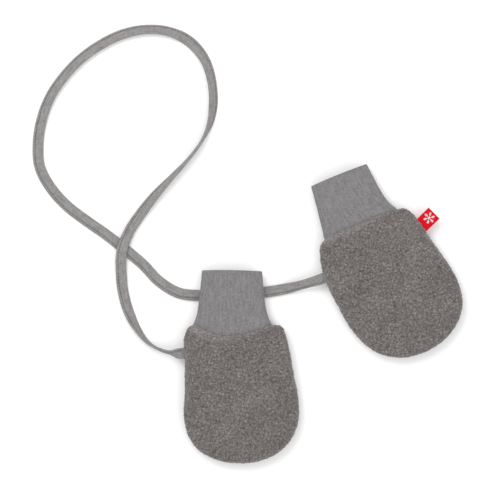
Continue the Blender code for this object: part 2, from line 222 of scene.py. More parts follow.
# The cord's middle line from the left mitten to the right one: x, y, lift and tilt. Lift is the
# air under it, and a tilt of 90 degrees stands the band on its edge.
CORD_ROUTE = [
    (-109.8, -30.85, 7.4, 360), (-117.0, -30.5, 4.0, 297), (-125.8, -28.1, 1.2, 279),
    (-134.2, -23.6, 0.2, 262), (-143.1, -13.3, 0.2, 237), (-149.8, -0.8, 0.2, 205),
    (-155.1, 16.9, 0.4, 184), (-156.6, 32.3, 1.9, 180), (-156.1, 48.3, 2.9, 180),
    (-150.7, 63.2, 1.9, 180), (-141.3, 77.8, 0.4, 170), (-129.8, 92.6, 0.2, 144),
    (-117.1, 106.3, 0.2, 118), (-104.4, 120.1, 0.2, 102), (-93.8, 134.4, 0.2, 88),
    (-87.6, 147.5, 0.2, 62), (-85, 161.9, 0.2, 40), (-86, 180.6, 0.2, 36),
    (-91.7, 198.3, 0.2, 24), (-103.7, 212.3, 0.2, 6), (-120.8, 220.1, 0.2, 26),
    (-139.3, 221.2, 0.2, 28), (-157.4, 217, 0.2, 20), (-174.1, 208.6, 0.2, 20),
    (-189.1, 197.6, 0.2, 22), (-201.9, 183.9, 0.2, 20), (-212.2, 168.4, 0.2, 16),
    (-218.6, 151, 0.2, 8), (-221.4, 132.3, 0.2, 0), (-220.2, 114.8, 0.2, 0),
    (-211.4, 97.9, 0.2, 0), (-198.8, 83.9, 0.2, 0), (-183.9, 72.5, 0.2, 0),
    (-168.5, 61.7, 0.2, 0), (-154.1, 50.5, 0.2, 0), (-139.6, 38.2, 0.2, 0),
    (-126.7, 24.9, 0.2, 0), (-111.4, 16, 0.2, 0), (-91.9, 14.2, 0.2, 0),
    (-69.9, 14.3, 0.2, 0), (-48.9, 16.1, 0.2, 0), (-30.8, 18.9, 0.6, 0),
    (-17.5, 22.1, 3.6, 30), (-8.3, 24.7, 6.2, 24), (-0.52, 27.1, 7.4, 0),
]


# Numbers and curves

def unit(vectors):
    """Vectors of length one, and zero where there was none."""
    length = np.linalg.norm(vectors, axis=-1, keepdims=True)
    return vectors / np.maximum(length, 1e-9)


def smoothstep(low, high, value):
    """Smooth step from 0 at low to 1 at high."""
    t = np.clip((value - low) / (high - low), 0.0, 1.0)
    return t * t * (3.0 - 2.0 * t)


def lengths_along(points):
    """Distance walked down a line or grid of points, over their first three numbers."""
    steps = np.linalg.norm(np.diff(points[..., :3], axis=0), axis=-1)
    return np.concatenate([np.zeros((1, *steps.shape[1:])), np.cumsum(steps, axis=0)])


def cubic(values, slopes, index, t, span=1.0):
    """Values on a smooth curve, a share t of the way from each index to the next. The slopes are
    for one unit of the span between the two."""
    fine = (2 * t**3 - 3 * t**2 + 1) * values[index]
    fine += (t**3 - 2 * t**2 + t) * span * slopes[index]
    fine += (3 * t**2 - 2 * t**3) * values[index + 1]
    fine += (t**3 - t**2) * span * slopes[index + 1]
    return fine


def read_at(place, walked, rows):
    """Rows read between the given ones, at places along the distance walked."""
    return np.column_stack([np.interp(place, walked, column) for column in rows.T])


def smooth_curve(points, count):
    """Evenly spaced points on one smooth curve through the given ones."""
    given = np.array(points, dtype=float)
    knots = lengths_along(given)
    slopes = np.gradient(given, knots, axis=0)
    place = np.linspace(0.0, knots[-1], DENSE)
    index = np.clip(np.searchsorted(knots, place, side="right") - 1, 0, len(knots) - 2)
    span = (knots[index + 1] - knots[index])[:, None]
    fine = cubic(given, slopes, index, (place - knots[index])[:, None] / span, span)
    walked = lengths_along(fine)
    return read_at(np.linspace(0.0, walked[-1], count), walked, fine)


def upsampled(grid, rows, columns):
    """A grid of vectors read more finely, smoothly both ways."""
    for axis, count in ((0, rows), (1, columns)):
        lines = np.moveaxis(grid, axis, 0)
        place = np.linspace(0.0, len(lines) - 1.0, count)
        index = np.minimum(place.astype(int), len(lines) - 2)
        t = (place - index).reshape(-1, *[1] * (lines.ndim - 1))
        grid = np.moveaxis(cubic(lines, np.gradient(lines, axis=0), index, t), 0, axis)
    return grid


def cell_points(cells):
    """One fixed, scattered point in each unit cell of space."""
    seeds = cells @ np.array([[127.1, 269.5, 419.2], [311.7, 183.3, 371.9], [74.7, 246.1, 168.2]])
    return cells + np.mod(np.sin(seeds) * 43758.5453, 1.0)


def nearest_two(points):
    """Distance from each point to the nearest and second nearest scattered point."""
    base = np.floor(points)
    first = np.full(len(points), 9.0)
    second = np.full(len(points), 9.0)
    for step in np.ndindex(3, 3, 3):
        distance = np.linalg.norm(points - cell_points(base + np.array(step) - 1.0), axis=1)
        second = np.minimum(second, np.maximum(first, distance))
        first = np.minimum(first, distance)
    return first, second


def swell(points, length, seed):
    """Smooth unevenness from -1 to 1 over hills and hollows about one length across."""
    total = np.zeros(points.shape[:-1])
    directions = [(1.0, 0.31, 0.55), (-0.62, 0.94, 0.4), (0.21, -1.03, 0.7), (0.83, 0.74, -0.5),
                  (-0.95, 0.12, 0.86), (0.4, 0.6, 1.1)]
    for index, direction in enumerate(directions):
        phase = seed * 2.4 + index * 1.7
        wave = points @ np.array(direction) * math.pi / length
        total += np.sin(wave + phase + 1.3 * np.sin(wave * 0.61 + phase * 2.1))
    return total / len(directions)


# Meshes

def mitten_axes(name):
    """Where a mitten's cuff starts and how the mitten is turned, from its cuff's hinge."""
    hinge = JOINTS[f"{name}_cuff_fold"]
    turn = math.atan2(hinge["axis"][1], hinge["axis"][0])
    across = np.array([math.cos(turn), math.sin(turn)])
    away = np.array([-math.sin(turn), math.cos(turn)])
    top = np.array(hinge["pos_m"][:2]) / MM + CUFF_LENGTH * away
    return top, across, away


def in_world(name, points):
    """Points given as across, depth and height, as x, y and z, all in millimetres."""
    top, across, away = mitten_axes(name)
    plan = top + points[..., :1] * across - points[..., 1:2] * away
    return np.concatenate([plan, points[..., 2:3]], axis=-1)


class Surface:
    """The points and faces of one mesh, in millimetres, while it is put together.

    Its maps hold a place for every corner of every face: OFBake without overlaps, and knit in
    millimetres over the fabric.
    """

    def __init__(self, *maps):
        self.points = np.empty((0, 3))
        self.faces = []
        self.corners = {name: [] for name in maps}

    def add_points(self, points):
        """Add a grid of points, and give back the grid of their numbers."""
        first = len(self.points)
        self.points = np.concatenate([self.points, points.reshape(-1, 3)])
        return first + np.arange(points[..., 0].size).reshape(points.shape[:-1])

    def add_quads(self, numbers, **maps):
        """Add the quads of a grid of point numbers, with each point's place on the maps, or
        spread over a whole map where none is given."""
        self.faces += quads(numbers).tolist()
        for name, blocks in self.corners.items():
            blocks.append(quads(maps.get(name, places(*numbers.shape))).reshape(-1, 2))

    def add_face(self, numbers):
        """Add one face that no map shows."""
        self.faces.append([int(number) for number in numbers])
        for blocks in self.corners.values():
            blocks.append(np.full((len(numbers), 2), UNSEEN_PLACE))

    def add_strip(self, first, second):
        """Add the quads between two lines of point numbers."""
        for here, there, far, near in zip(first, first[1:], second[1:], second):
            self.add_face([here, there, far, near])

    def merge(self, keys, distance):
        """Make points one where their keys share a cell of a given size, and drop empty faces.
        Gives back which point each new one was, and which one each old point has become."""
        cells = np.floor(keys / distance + CELL_SHIFT).astype(np.int64)
        _, first, index = np.unique(cells, axis=0, return_index=True, return_inverse=True)
        index = index.reshape(-1)
        faces, kept, place = [], [], 0
        for face in self.faces:
            numbers = [int(index[corner]) for corner in face]
            stay = [k for k in range(len(face)) if numbers[k] != numbers[k - 1]]
            if len(stay) > 2 and len({numbers[k] for k in stay}) == len(stay):
                faces.append([numbers[k] for k in stay])
                kept += [place + k for k in stay]
            place += len(face)
        self.points = self.points[first]
        self.faces = faces
        for name, blocks in self.corners.items():
            self.corners[name] = [np.concatenate(blocks)[kept]]
        return first, index

    def make(self, name, material, curl=None):
        """The finished object, with its faces turned outwards."""
        mesh = bpy.data.meshes.new(name)
        mesh.from_pydata((self.points * MM).tolist(), [], self.faces)
        mesh.materials.append(material)
        for layer_name, blocks in self.corners.items():
            layer = mesh.uv_layers.new(name=layer_name)
            layer.data.foreach_set("uv", np.concatenate(blocks).astype(np.float32).ravel())
        if curl is not None:
            values = mesh.attributes.new("curl", "FLOAT", "POINT")
            values.data.foreach_set("value", curl.astype(np.float32))
        shape = bmesh.new()
        shape.from_mesh(mesh)
        bmesh.ops.recalc_face_normals(shape, faces=shape.faces)
        shape.to_mesh(mesh)
        shape.free()
        mesh.shade_smooth()
        thing = bpy.data.objects.new(name, mesh)
        bpy.context.scene.collection.objects.link(thing)
        return thing


def quads(grid):
    """The four corners of every cell of a grid of numbers or places."""
    corners = (grid[:-1, :-1], grid[:-1, 1:], grid[1:, 1:], grid[1:, :-1])
    return np.stack(corners, axis=2).reshape(-1, 4, *grid.shape[2:])


def places(rows, columns, low=(0.0, 0.0), high=(1.0, 1.0)):
    """Places on a map for a grid of points, spread evenly over a rectangle."""
    along, over = np.meshgrid(np.linspace(low[0], high[0], rows),
                              np.linspace(low[1], high[1], columns), indexing="ij")
    return np.stack([along, over], axis=-1)


def knit_places(rows, columns):
    """Places on the knit map, from how far over the fabric each row and each column is."""
    return np.stack(np.meshgrid(columns, rows), axis=-1)


def closed_columns(numbers):
    """A grid of point numbers whose last column is its first one again."""
    return np.concatenate([numbers, numbers[:, :1]], axis=1)


def tube(surface, line, radius, flat, sides=8):
    """Add a round thread along a line of points, with both ends closed. flat is any direction
    that is nowhere along it."""
    along = unit(np.gradient(line, axis=0))
    side = unit(np.cross(along, np.broadcast_to(flat, line.shape)))
    up = np.cross(side, along)
    angle = (np.arange(sides) * 2 * math.pi / sides)[:, None, None]
    reach = radius * (np.cos(angle) * side + np.sin(angle) * up)
    numbers = surface.add_points(np.moveaxis(line + reach, 0, 1))
    surface.add_quads(closed_columns(numbers))
    surface.add_face(numbers[0])
    surface.add_face(numbers[-1][::-1])


# Camera, light and floor come first

def camera_and_light(view_middle):
    """The camera straight above, a soft lamp from the upper left, and a pale floor."""
    scene = bpy.context.scene
    scene.view_settings.view_transform = "Standard"
    lens = 200.0
    sensor = 36.0
    width = VIEW_WIDTH * MM
    camera = bpy.data.objects.new("camera", bpy.data.cameras.new("camera"))
    camera.data.lens = lens
    camera.data.sensor_width = sensor
    camera.location = (view_middle[0], view_middle[1], width * lens / sensor)
    camera.data.clip_end = 20.0
    scene.collection.objects.link(camera)
    scene.camera = camera

    def lamp(name, place, size, watts):
        light = bpy.data.objects.new(name, bpy.data.lights.new(name, "AREA"))
        light.data.energy = watts
        light.data.size = size
        light.location = view_middle + Vector(place)
        light.rotation_euler = (view_middle - light.location).to_track_quat("-Z", "Y").to_euler()
        scene.collection.objects.link(light)

    lamp("key_lamp", (-0.55, 0.8, 1.4), 1.0, 12.0)
    lamp("fill_lamp", (0.8, -0.8, 1.4), 1.6, 8.3)

    world = bpy.data.worlds.new("studio")
    world.use_nodes = True
    background = world.node_tree.nodes["Background"]
    background.inputs["Color"].default_value = (1.0, 1.0, 1.0, 1.0)
    background.inputs["Strength"].default_value = 0.84
    scene.world = world

    paper, _, shader = new_material("floor_paper", 0.9, sheen=0.0, specular=0.5)
    shader.inputs["Base Color"].default_value = (0.97, 0.97, 0.97, 1.0)
    plan = places(2, 2, (-FLOOR_REACH, -FLOOR_REACH), (FLOOR_REACH, FLOOR_REACH))
    surface = Surface()
    surface.add_quads(surface.add_points(np.dstack([plan, np.full((2, 2), FLOOR_LEVEL)])))
    floor = surface.make("floor", paper)


# Materials

def node(tree, kind, inputs=None, **settings):
    """A new shader node with its inputs set, or linked where a socket is given."""
    made = tree.nodes.new(kind)
    for key, value in settings.items():
        setattr(made, key, value)
    for key, value in (inputs or {}).items():
        if isinstance(value, bpy.types.NodeSocket):
            tree.links.new(value, made.inputs[key])
        else:
            made.inputs[key].default_value = value
    return made


def new_material(name, roughness, sheen, specular):
    """A material with its even values set, its node tree and its shader."""
    material = bpy.data.materials.new(name)
    material.use_nodes = True
    shader = material.node_tree.nodes["Principled BSDF"]
    for key, value in (("Roughness", roughness), ("Specular IOR Level", specular),
                       ("Sheen Weight", sheen), ("Sheen Roughness", 0.45)):
        shader.inputs[key].default_value = value
    return material, material.node_tree, shader


def colour_by(tree, shader, value, stops):
    """Colour the shader by a ramp over a value, from a list of places and colours."""
    made = node(tree, "ShaderNodeValToRGB", {"Fac": value})
    for place, colour in stops[1:-1]:
        made.color_ramp.elements.new(place)
    for element, (place, colour) in zip(made.color_ramp.elements, stops):
        element.position = place
        element.color = (*colour, 1.0)
    tree.links.new(made.outputs["Color"], shader.inputs["Base Color"])


def shade_by(tree, shader, value, colour, dark, pale, spread):
    """Colour the shader from a darker to a paler share of one colour, round the value 0.5."""
    stops = [(0.5 + step * spread, [min(1.0, share * part) for part in colour])
             for step, share in ((-1, dark), (0, 1.0), (1, pale))]
    colour_by(tree, shader, value, stops)


def add_up(tree, *parts):
    """Sum of sockets, each with its own weight."""
    total = None
    for socket, weight in parts:
        total = node(tree, "ShaderNodeMath", {0: socket, 1: weight, 2: 0.0 if total is None else
                                              total.outputs[0]}, operation="MULTIPLY_ADD")
    return total.outputs[0]


def noise(tree, place, scale, detail):
    """Smooth noise from 0 to 1 over a place."""
    made = node(tree, "ShaderNodeTexNoise", {"Vector": place, "Scale": scale, "Detail": detail})
    return made.outputs["Fac"]


def bumps(tree, shader, *layers):
    """Bump the shader's surface by one height after another, each with its strength and depth."""
    inputs = {}
    for height, strength, depth in layers:
        inputs.update({"Height": height, "Strength": strength, "Distance": depth})
        inputs["Normal"] = node(tree, "ShaderNodeBump", inputs).outputs["Normal"]
    tree.links.new(inputs["Normal"], shader.inputs["Normal"])


def fleece_material():
    """Grey pile with fine fibre: painted shade darkens it between its curls and a painted highlight
    makes their tops paler.
    """
    material, tree, shader = new_material("fleece_pile", 0.95, sheen=0.6, specular=0.1)
    place = node(tree, "ShaderNodeTexCoord").outputs["Object"]
    height = node(tree, "ShaderNodeAttribute", attribute_name="curl").outputs["Fac"]
    fibre = noise(tree, place, 1500.0, 4.0)
    tufts = noise(tree, place, 620.0, 1.0)
    patches = noise(tree, place, 50.0, 0.0)
    # painted shade between the curls and painted highlight on their tops, from the curls' height;
    # fibre, tufts and patches are the pile's own random tone
    tone_and_curl_shade = add_up(tree, (height, 0.37), (fibre, 0.26), (tufts, 0.5), (patches, 0.1))
    colour_by(tree, shader, tone_and_curl_shade, [(0.395, (0.073, 0.065, 0.062)),
                                   (0.635, (0.170, 0.153, 0.147)),
                                   (0.875, (0.294, 0.272, 0.262))])
    strands = node(tree, "ShaderNodeTexVoronoi", {"Vector": place, "Scale": 1300.0})
    bumps(tree, shader, (strands.outputs["Distance"], 0.5, 0.0003), (fibre, 0.4, 0.0002))
    return material


def knit_material(name, colour, wale, course):
    """Fine knit: rows of small V-shaped loops. The map named knit holds millimetres over it."""
    material, tree, shader = new_material(name, 0.88, sheen=0.1, specular=0.15)

    def maths(operation, first, second=0.0):
        return node(tree, "ShaderNodeMath", {0: first, 1: second}, operation=operation).outputs[0]

    plan = node(tree, "ShaderNodeUVMap", uv_map="knit").outputs["UV"]
    place = node(tree, "ShaderNodeTexCoord").outputs["Object"]
    parts = node(tree, "ShaderNodeSeparateXYZ", {"Vector": plan})
    in_wale = maths("ABSOLUTE", maths("SUBTRACT", maths("FRACT", maths(
        "DIVIDE", parts.outputs["X"], wale)), 0.5))
    row = maths("ADD", maths("DIVIDE", parts.outputs["Y"], course), in_wale)
    loops = maths("SINE", maths("MULTIPLY", row, 2 * math.pi))
    rounded = maths("COSINE", maths("MULTIPLY", in_wale, 4 * math.pi))
    height = add_up(tree, (loops, 0.5), (rounded, -0.5))
    fuzz = noise(tree, place, 1800.0, 4.0)
    stretched = node(tree, "ShaderNodeMapping", {"Vector": plan, "Scale": (0.75, 0.1, 1.0)})
    streaks = noise(tree, stretched.outputs["Vector"], 1.0, 1.0)
    melange = noise(tree, place, 500.0, 3.0)
    # a little painted shade in the hollows between the loops, from their height; streaks, fuzz and
    # melange are the yarn's own random tone
    tone_and_loop_shade = add_up(tree, (height, 0.06), (streaks, 0.3), (fuzz, 0.3), (melange, 0.4))
    shade_by(tree, shader, tone_and_loop_shade, colour, dark=0.72, pale=1.26, spread=0.14)
    bumps(tree, shader, (height, 0.4, 0.0002), (fuzz, 0.3, 0.0001))
    return material


def thread_material(name, colour, roughness=0.6, specular=0.3):
    """Twisted thread or woven ribbon: fine slanting ridges and a little unevenness."""
    material, tree, shader = new_material(name, roughness, sheen=0.1, specular=specular)
    place = node(tree, "ShaderNodeTexCoord").outputs["Object"]
    twist = node(tree, "ShaderNodeTexWave", {"Vector": place, "Scale": 900.0, "Distortion": 1.5},
                 bands_direction="DIAGONAL")
    uneven = noise(tree, place, 900.0, 3.0)
    shade_by(tree, shader, uneven, colour, dark=0.75, pale=1.1, spread=0.2)
    bumps(tree, shader, (twist.outputs["Fac"], 0.35, 0.0001))
    return material


# Cord

def cord_route():
    """The cord's route with both its ends carried on into the side seams."""
    route = np.array(CORD_ROUTE, dtype=float)
    ends = []
    for last, joint in ((route[0], "left_swing"), (route[-1], "right_swing")):
        pivot = np.array(JOINTS[joint]["pos_m"][:2]) / MM
        end = last.copy()
        end[:2] += unit(pivot - last[:2]) * CORD_SEWN_IN
        ends.append(end)
    return np.vstack([ends[0], route, ends[1]])


def cord_line(count):
    """Evenly spaced middle points of the cord, and directions across and off its flat side."""
    route = smooth_curve(cord_route(), count)
    lean = np.radians(route[:, 3])
    flat_part = (CORD_WIDTH - CORD_THICKNESS) / 2
    height = route[:, 2] + CORD_THICKNESS / 2 + flat_part * np.abs(np.sin(lean))
    middle = np.column_stack([route[:, :2], height])
    along = unit(np.gradient(middle, axis=0))
    left = unit(np.column_stack([-along[:, 1], along[:, 0], np.zeros(count)]))
    wide = np.cos(lean)[:, None] * left + np.sin(lean)[:, None] * np.cross(along, left)
    return middle, wide, np.cross(along, wide)


def cord_section():
    """Half of the band's section, across and off it: the seam's groove, then a folded edge."""
    half = CORD_WIDTH / 2
    across = np.concatenate([np.linspace(-half, GROOVE_BAND - half, 18),
                             np.linspace(GROOVE_BAND - half, half - CORD_FOLD, 7)[1:],
                             np.linspace(half - CORD_FOLD, half, 8)[1:]])
    thick = CORD_THICKNESS / 2 * np.sqrt(1.0 - np.abs(across / half) ** CORD_POWER)
    groove = GROOVE_DEPTH * np.exp(-((across - SEAM_LINE) / GROOVE_WIDTH) ** 2)
    return across, thick * (1.0 - groove)


def cord_band(middle, wide, off, walked, material):
    """The folded band itself, thinner where it is sewn in."""
    across, thick = cord_section()
    ring_across = np.concatenate([across, across[-2:0:-1]])
    ring_off = np.concatenate([thick, -thick[-2:0:-1]])
    on_a_line = walked[:, None] * np.array([1.0, 0.0, 0.0])
    fullness = 1.0 + CORD_SWELL * swell(on_a_line, CORD_SWELL_LENGTH, 3)
    from_end = np.minimum(walked, walked[-1] - walked)
    whole = smoothstep(0.0, 2.0 * CORD_SEWN_IN, from_end)
    fullness *= CORD_PINCH + (1.0 - CORD_PINCH) * whole
    courses = COURSE_HEIGHT * np.sin(walked * 2 * math.pi / COURSE)
    body = fullness[:, None] * ring_off + courses[:, None] * np.sign(ring_off)
    points = middle[:, None] + ring_across[None, :, None] * wide[:, None]
    points = points + body[..., None] * off[:, None]
    points[..., 2] = np.maximum(points[..., 2], FLOOR_AIR)

    surface = Surface("OFBake", "knit")
    numbers = surface.add_points(points)
    girth = lengths_along(np.column_stack([ring_across, ring_off]))
    girth = np.append(girth, girth[-1] + ring_across[1] - ring_across[0])
    surface.add_quads(closed_columns(numbers), knit=knit_places(walked, girth))
    surface.add_face(numbers[0])
    surface.add_face(numbers[-1][::-1])
    band = surface.make("cord_band", material)
    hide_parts("cord")
    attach(band, "cord")
    return band


def cord_stitches(middle, wide, off, walked, material):
    """The row of stitches along the band's seam line, on both its faces."""
    surface = Surface("OFBake")
    lift = np.interp(SEAM_LINE, *cord_section())
    line = middle + SEAM_LINE * wide
    for start in np.arange(STITCH_PITCH, walked[-1] - STITCH_PITCH, STITCH_PITCH):
        for face in (1.0, -1.0):
            stitch(surface, walked, line, face * off, start, lift)
    stitches = surface.make("cord_stitches", material)
    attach(stitches, "cord")
    return stitches


def cord(knit, thread):
    """The folded, edge-stitched band from the left mitten's side seam to the right one's."""
    count = int(lengths_along(smooth_curve(cord_route(), DENSE))[-1] / CORD_STEP)
    middle, wide, off = cord_line(count)
    walked = lengths_along(middle)
    band = cord_band(middle, wide, off, walked, knit)
    stitches = cord_stitches(middle, wide, off, walked, thread)


def stitch(surface, walked, line, off, start, lift):
    """One raised stitch that dips into the fabric at both its ends."""
    share = np.linspace(0.0, 1.0, 7)
    place = start + share * STITCH_SHARE * STITCH_PITCH
    middle = read_at(place, walked, line)
    normal = read_at(place, walked, off)
    arch = np.sqrt(np.sin(share * math.pi))[:, None]
    middle = middle + normal * (lift + STITCH_DIAMETER * (0.6 * arch - 0.5))
    middle[:, 2] = np.maximum(middle[:, 2], FLOOR_AIR + STITCH_DIAMETER / 2)
    tube(surface, middle, STITCH_DIAMETER / 2, normal[0], sides=6)


# Hand part

def inward(outline, distance):
    """The outline moved towards the inside of the mitten along its own normal."""
    along = unit(np.gradient(outline, axis=0))
    return outline + np.column_stack([along[:, 1], -along[:, 0]]) * distance


def section_angles(power, half_width, half_height, steps):
    """Angles from the edge to the middle that step evenly round a rounded quarter section."""
    angle = np.linspace(0.0, math.pi / 2, DENSE)
    line = np.column_stack([half_width * np.cos(angle) ** (2 / power),
                            half_height * np.sin(angle) ** (2 / power)])
    walked = lengths_along(line)
    return np.interp(np.linspace(0.0, walked[-1], steps + 1), walked, angle)


def half_surface(name, side, rays, rings, inset=0.0, start=0.0, trim=0.0):
    """Outer face of one half of a layer, ray by ray from the side seam to its middle line.

    The first and the last ray are the rim at the wrist, and the middle rays meet in the palm.
    side is 1 for the back and -1 for the palm. inset, start and trim are how far the layer lies
    inside the fleece at its sides, at the wrist and in height.
    """
    mitten = MITTENS[name]
    edge = smooth_curve(mitten["outline"], rays)
    if inset:
        edge = inward(edge, inset)
        edge[0, 1] = edge[-1, 1] = WRIST_DEPTH
    mouth, tip = WRIST_DEPTH + start, edge[:, 1].max()
    edge[:, 1] = mouth + (edge[:, 1] - WRIST_DEPTH) * (tip - mouth) / (tip - WRIST_DEPTH)

    end_across, end_depth = mitten["palm_middle"]
    depth = np.minimum((edge[:, 1] + edge[::-1, 1]) / 2, end_depth)
    share = (depth - mouth) / (end_depth - mouth)
    across = mitten["rim_middle"] + (end_across - mitten["rim_middle"]) * share
    spine = np.column_stack([across, depth])

    power = BACK_POWER if side > 0 else PALM_POWER
    full = BACK_RISE if side > 0 else PALM_RISE
    angle = section_angles(power, HAND_HALF_WIDTH, full, rings)
    outward = np.cos(angle) ** (2 / power)
    upward = np.sin(angle) ** (2 / power)
    outward[-1] = 0.0
    plan = spine[:, None] + (edge - spine)[:, None] * outward[None, :, None]
    dip = mitten["dip"] * (1.0 if side > 0 else PALM_DIP) * (1.0 - outward**2)
    plan[..., 1] += dip * (1.0 - share)[:, None]

    past_rim = np.clip((plan[..., 1] - WRIST_DEPTH - dip) / PUFF_LENGTH, 0.0, 1.0)
    top = MOUTH_RISE + (full - MOUTH_RISE) * np.sin(past_rim * math.pi / 2) - trim
    height = SEAM_GAP / 2 + (top - SEAM_GAP / 2) * upward
    groove = SEAM_GROOVE * np.exp(-(height / SEAM_GROOVE) ** 2)
    plan -= groove[..., None] * unit(edge - spine)[:, None]
    return np.concatenate([plan, SEAM_HEIGHT + side * height[..., None]], axis=-1)


def facing(grid, side):
    """Directions straight off a half's surface, to the outside."""
    off = unit(np.cross(np.gradient(grid, axis=0), np.gradient(grid, axis=1)))
    if off[len(off) // 4, -2, 2] * side < 0:
        off = -off
    off[:, -1] = unit(off[:, -2] + off[::-1, -2])
    return off


def curls(points, seed):
    """Height from 0 to 1 of the pile's curls at points in space: round knots, and loops on them."""
    near = [swell(points, 0.9 * CURL, seed + axis) for axis in range(3)]
    wide = [swell(points, 3.1 * CURL, seed - axis) for axis in range(3)]
    bent = points / CURL + CURL_WANDER * (np.stack(near, axis=-1) + np.stack(wide, axis=-1))
    first, second = nearest_two(bent)
    knot = np.sqrt(np.clip(1.0 - (first / 0.95) ** 2, 0.0, 1.0))
    knot *= smoothstep(-0.05, 0.4, second - first)
    first, second = nearest_two(bent * LOOPS_PER_CURL + 7.0)
    loop = np.sqrt(np.clip(1.0 - first**2, 0.0, 1.0)) * smoothstep(-0.1, 0.5, second - first)
    return 0.5 * knot + 0.5 * loop


def piled(points, off, seed, amount, calm):
    """Points raised by soft unevenness and by curls, with the curls' height from 0 to 1. amount
    is how much of both there is, and calm how even the curls are."""
    flat_points = points.reshape(-1, 3)
    curl = curls(flat_points, seed).reshape(points.shape[:-1])
    curl = curl + (RIM_CURL - curl) * calm
    humps = HUMP_HEIGHT * swell(flat_points, HUMP_LENGTH, seed)
    ripples = RIPPLE_HEIGHT * swell(flat_points, RIPPLE_LENGTH, seed + 5)
    lift = (humps + ripples).reshape(curl.shape) + CURL_HEIGHT * (curl - CURL_LEVEL)
    return points + (amount * lift)[..., None] * off, curl


def from_rim(grid):
    """Distance along each ring of a half from the nearer end of its rays, at the wrist."""
    there = lengths_along(grid)
    return np.minimum(there, there[-1] - there)


def rim_calm(grid, seed):
    """How even the curls are: in a wavering band near the wrist, and more so on the left."""
    leftward = 1.0 - RIM_LEFTWARD * grid[..., 0] / HAND_HALF_WIDTH
    uneven = 1.0 + 0.3 * swell(grid, 9.0, seed) + 0.3 * swell(grid, 3.5, seed + 3)
    band = RIM_BAND * leftward * uneven
    return RIM_CALM * leftward * smoothstep(band, 0.3 * band, from_rim(grid))


def pile_amount(grid):
    """How much of the pile's height a point has: none at the side seam."""
    return smoothstep(0.0, PILE_START, np.abs(grid[..., 2] - SEAM_HEIGHT))


def along_rim(grid, row=0):
    """A half's first and last rays, or the rays that many rows in from them, as one line."""
    return np.concatenate([grid[row], grid[-1 - row, -2::-1]])


def rolled_rim(base, off, radius):
    """Rows of points from the outer face's rim round to the inner face, with directions straight
    off them, and how far each row has turned."""
    rim, rim_off = along_rim(base), along_rim(off)
    rim_out = rim - along_rim(base, 1)
    rim_out -= np.sum(rim_out * rim_off, axis=1, keepdims=True) * rim_off
    rim_out = unit(rim_out)
    turn = np.linspace(0.0, math.pi, ROLL_STEPS + 1)[1:, None, None]
    roll = rim + radius * np.sin(turn) * rim_out - radius * (1.0 - np.cos(turn)) * rim_off
    return roll, np.cos(turn) * rim_off + np.sin(turn) * rim_out, turn[..., 0]


def shell_surface(outer, roll, inner, step):
    """One closed half from its outer face, rolled rim and coarser inner face. step is how many
    millimetres of fabric there are from ray to ray."""
    rays, rings = outer.shape[0], outer.shape[1] - 1
    coarse = rings // BACKING_RINGS
    surface = Surface("OFBake", "knit")
    outer_numbers = surface.add_points(outer)
    roll_numbers = surface.add_points(roll)
    inner_numbers = surface.add_points(inner)
    rolled = np.concatenate([along_rim(outer_numbers)[None], roll_numbers])
    face_size = (rays * step, rings * step)
    for numbers, low, high, size in ((outer_numbers, 0.0, 0.78, face_size),
                                     (rolled, 0.8, 0.88, (4, 2 * rings * step)),
                                     (inner_numbers, 0.9, 0.98, face_size)):
        surface.add_quads(numbers, OFBake=places(*numbers.shape, (0, low), (1, high)),
                          knit=places(*numbers.shape, (0, 0), size))

    inside = roll_numbers[-1]
    for first, inner_row in ((0, inner_numbers[0]), (rings, inner_numbers[-1][::-1])):
        for cell in range(BACKING_RINGS):
            fine = inside[first + cell * coarse:first + (cell + 1) * coarse + 1]
            surface.add_face([*fine, inner_row[cell + 1], inner_row[cell]])
    surface.add_strip(outer_numbers[ROLL_STEPS:rays - ROLL_STEPS, 0], inner_numbers[:, 0])
    surface.add_face([*outer_numbers[:ROLL_STEPS + 1, 0], inner_numbers[0, 0],
                      *roll_numbers[::-1, 0]])
    surface.add_face([*outer_numbers[:-ROLL_STEPS - 2:-1, 0], inner_numbers[-1, 0],
                      *roll_numbers[::-1, -1]])
    return surface


def half_shell(name, side, layer, material, slack=None, pile=0):
    """One cut piece of the hand part, closed, with a rolled rim at the wrist. slack is how far
    simulation moves its points, and pile the seed of its curls, or 0 on a plain fabric."""
    rays, rings = layer["rays"], layer["rings"]
    thickness = layer["thickness"]
    base = half_surface(name, side, rays, rings, layer["inset"], layer["start"], layer["trim"])
    if slack is not None:
        at_meeting = np.all(base[:, -1] == base[rays // 2, -1], axis=1)
        base = base + upsampled(slack, rays, rings + 1)
        base[at_meeting, -1] = base[at_meeting, -1].mean(axis=0)
    off = facing(base, side)
    roll, roll_off, turn = rolled_rim(base, off, thickness / 2)
    coarse = rings // BACKING_RINGS
    inner = (base - thickness * off)[ROLL_STEPS:rays - ROLL_STEPS, ::coarse]
    keys = np.concatenate([part.reshape(-1, 3) for part in (base, roll, inner)])
    outer, curl = base, np.full(base.shape[:2], 0.5)
    roll_curl = np.full(roll.shape[:2], 0.5)
    if pile:
        calm = rim_calm(base, pile)
        outer, curl = piled(base, off, pile, pile_amount(base), calm)
        amount = pile_amount(roll) * (1.0 - turn / math.pi)
        roll, roll_curl = piled(roll, roll_off, pile, amount, along_rim(calm))

    surface = shell_surface(outer, roll, inner, layer["step"])
    surface.points[:, 2] = np.maximum(surface.points[:, 2], FLOOR_AIR)
    surface.points = in_world(name, surface.points)
    curl = np.concatenate([curl.ravel(), roll_curl.ravel(), np.zeros(inner[..., 0].size)])
    first, _ = surface.merge(keys, MERGE)
    face = "back" if side > 0 else "palm"
    piece = surface.make(f"{name}_{layer['name']}_{face}", material, curl[first])
    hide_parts(f"{name}_{layer['node']}_{face}")
    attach(piece, f"{name}_mitten")


